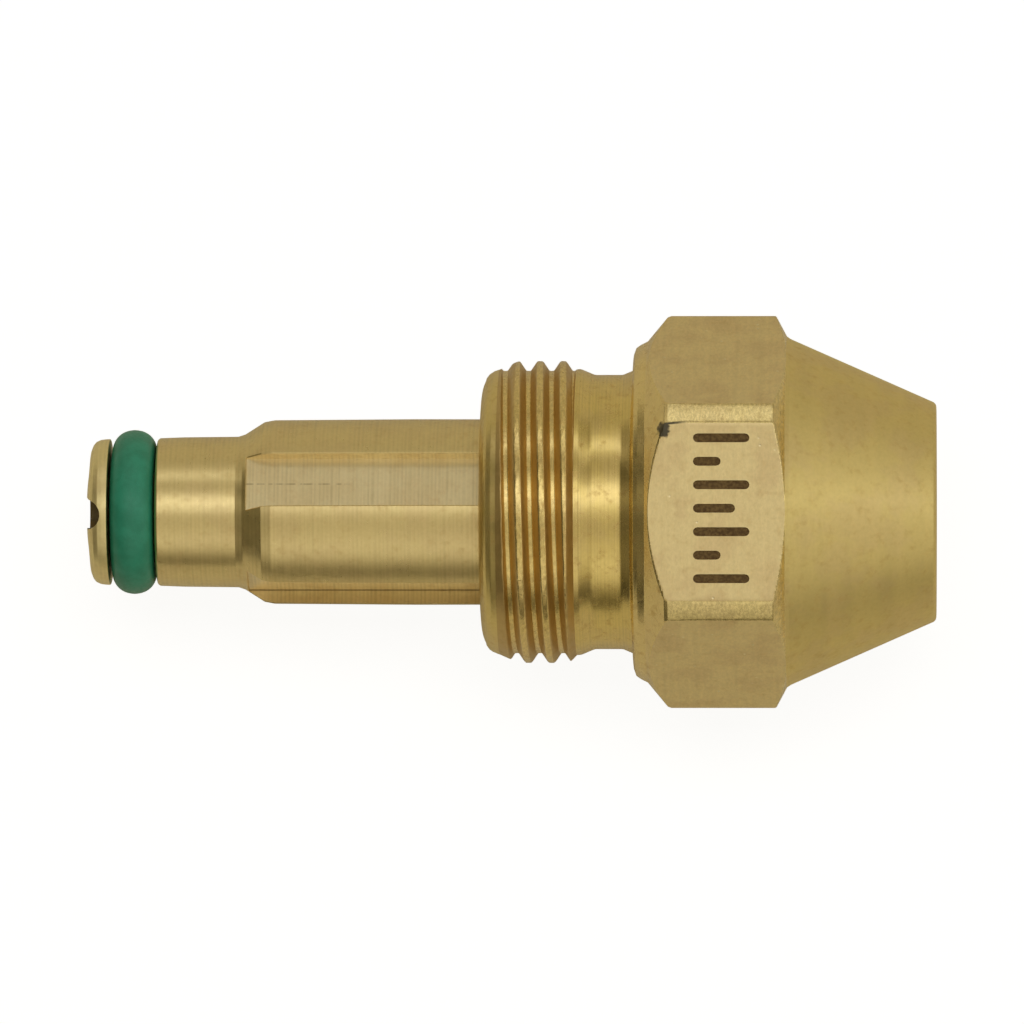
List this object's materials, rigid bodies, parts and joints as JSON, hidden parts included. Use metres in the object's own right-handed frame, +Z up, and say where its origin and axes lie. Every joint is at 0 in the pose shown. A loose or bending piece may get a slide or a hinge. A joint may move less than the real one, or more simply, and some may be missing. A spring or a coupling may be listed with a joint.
{
  "type": "oil burner nozzle",
  "caption": "Air-atomising oil burner nozzle: threaded brass cap with hexagon and cone nose, slotted screw-in stem with O-ring seal, swirler and fuel jet inside.",
  "frame": {"origin": "on the spray axis, in the plane of the seat face behind the hexagon, where the outside thread enters its holder", "axes": "+X along the spray axis towards the front orifice, +Z up, square to one hexagon flat; two hexagon flats face +Z and -Z"},
  "size_m": [0.0388, 0.018, 0.016],
  "materials": {
    "cap_brass": "satin, turned and milled",
    "stem_brass": "satin, fine turned",
    "insert_brass": "satin",
    "green_rubber": "matte"
  },
  "bodies": {
    "cap": {"nozzle_cap": "cap_brass"},
    "seal": {"o_ring": "green_rubber"},
    "stem": {"stem": "stem_brass", "air_swirler": "insert_brass", "fuel_jet": "insert_brass"}
  },
  "joints": [
    {"name": "stem_withdraw", "type": "slide", "parent": "cap", "child": "seal", "axis": [-1, 0, 0], "range_m": [0, 0.0045]},
    {"name": "stem_unscrew", "type": "hinge", "parent": "seal", "child": "stem", "pos_m": [0, 0, 0], "axis": [-1, 0, 0], "range_deg": [0, 1620]}
  ],
  "couplings": [
    {"joint": "stem_unscrew", "follows": "stem_withdraw", "rad_per_m": 6283.2}
  ]
}
